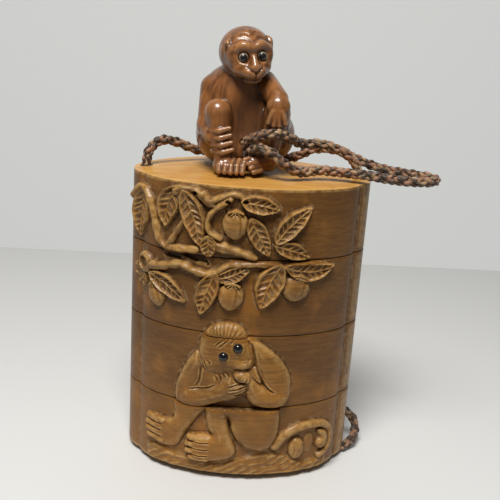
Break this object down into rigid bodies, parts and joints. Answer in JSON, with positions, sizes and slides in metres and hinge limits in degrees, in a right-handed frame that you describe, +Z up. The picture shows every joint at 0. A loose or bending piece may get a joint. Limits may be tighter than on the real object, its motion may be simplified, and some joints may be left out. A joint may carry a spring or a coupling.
{
  "type": "inro case with netsuke",
  "caption": "Carved wooden inro: stacked hollow trays under a lift-off lid, strung on a braided cord with a seated monkey netsuke",
  "frame": {"origin": "on the ground under the middle of the case, in the plane of its flat foot", "axes": "+Z up through the stack, -Y out of the carved front, +X to the right seen from the front"},
  "size_m": [0.0796, 0.0478, 0.1167],
  "materials": {
    "case_wood": "oiled and waxed boxwood, worn bright on the carved edges",
    "netsuke_wood": "polished red-brown wood",
    "black_glass": "polished black beads",
    "eye_inlay": "polished pale inlay with a dark pupil",
    "cord_braid": "round plaited silk cord, brown and dull gold"
  },
  "bodies": {
    "root": {"lid": "case_wood", "upper_case": "case_wood", "middle_case": "case_wood", "base_case": "case_wood", "netsuke": "netsuke_wood", "relief_eye_left": "black_glass", "relief_eye_right": "black_glass", "netsuke_eye_left": "eye_inlay", "netsuke_eye_right": "eye_inlay", "cord": "cord_braid"}
  },
  "joints": []
}
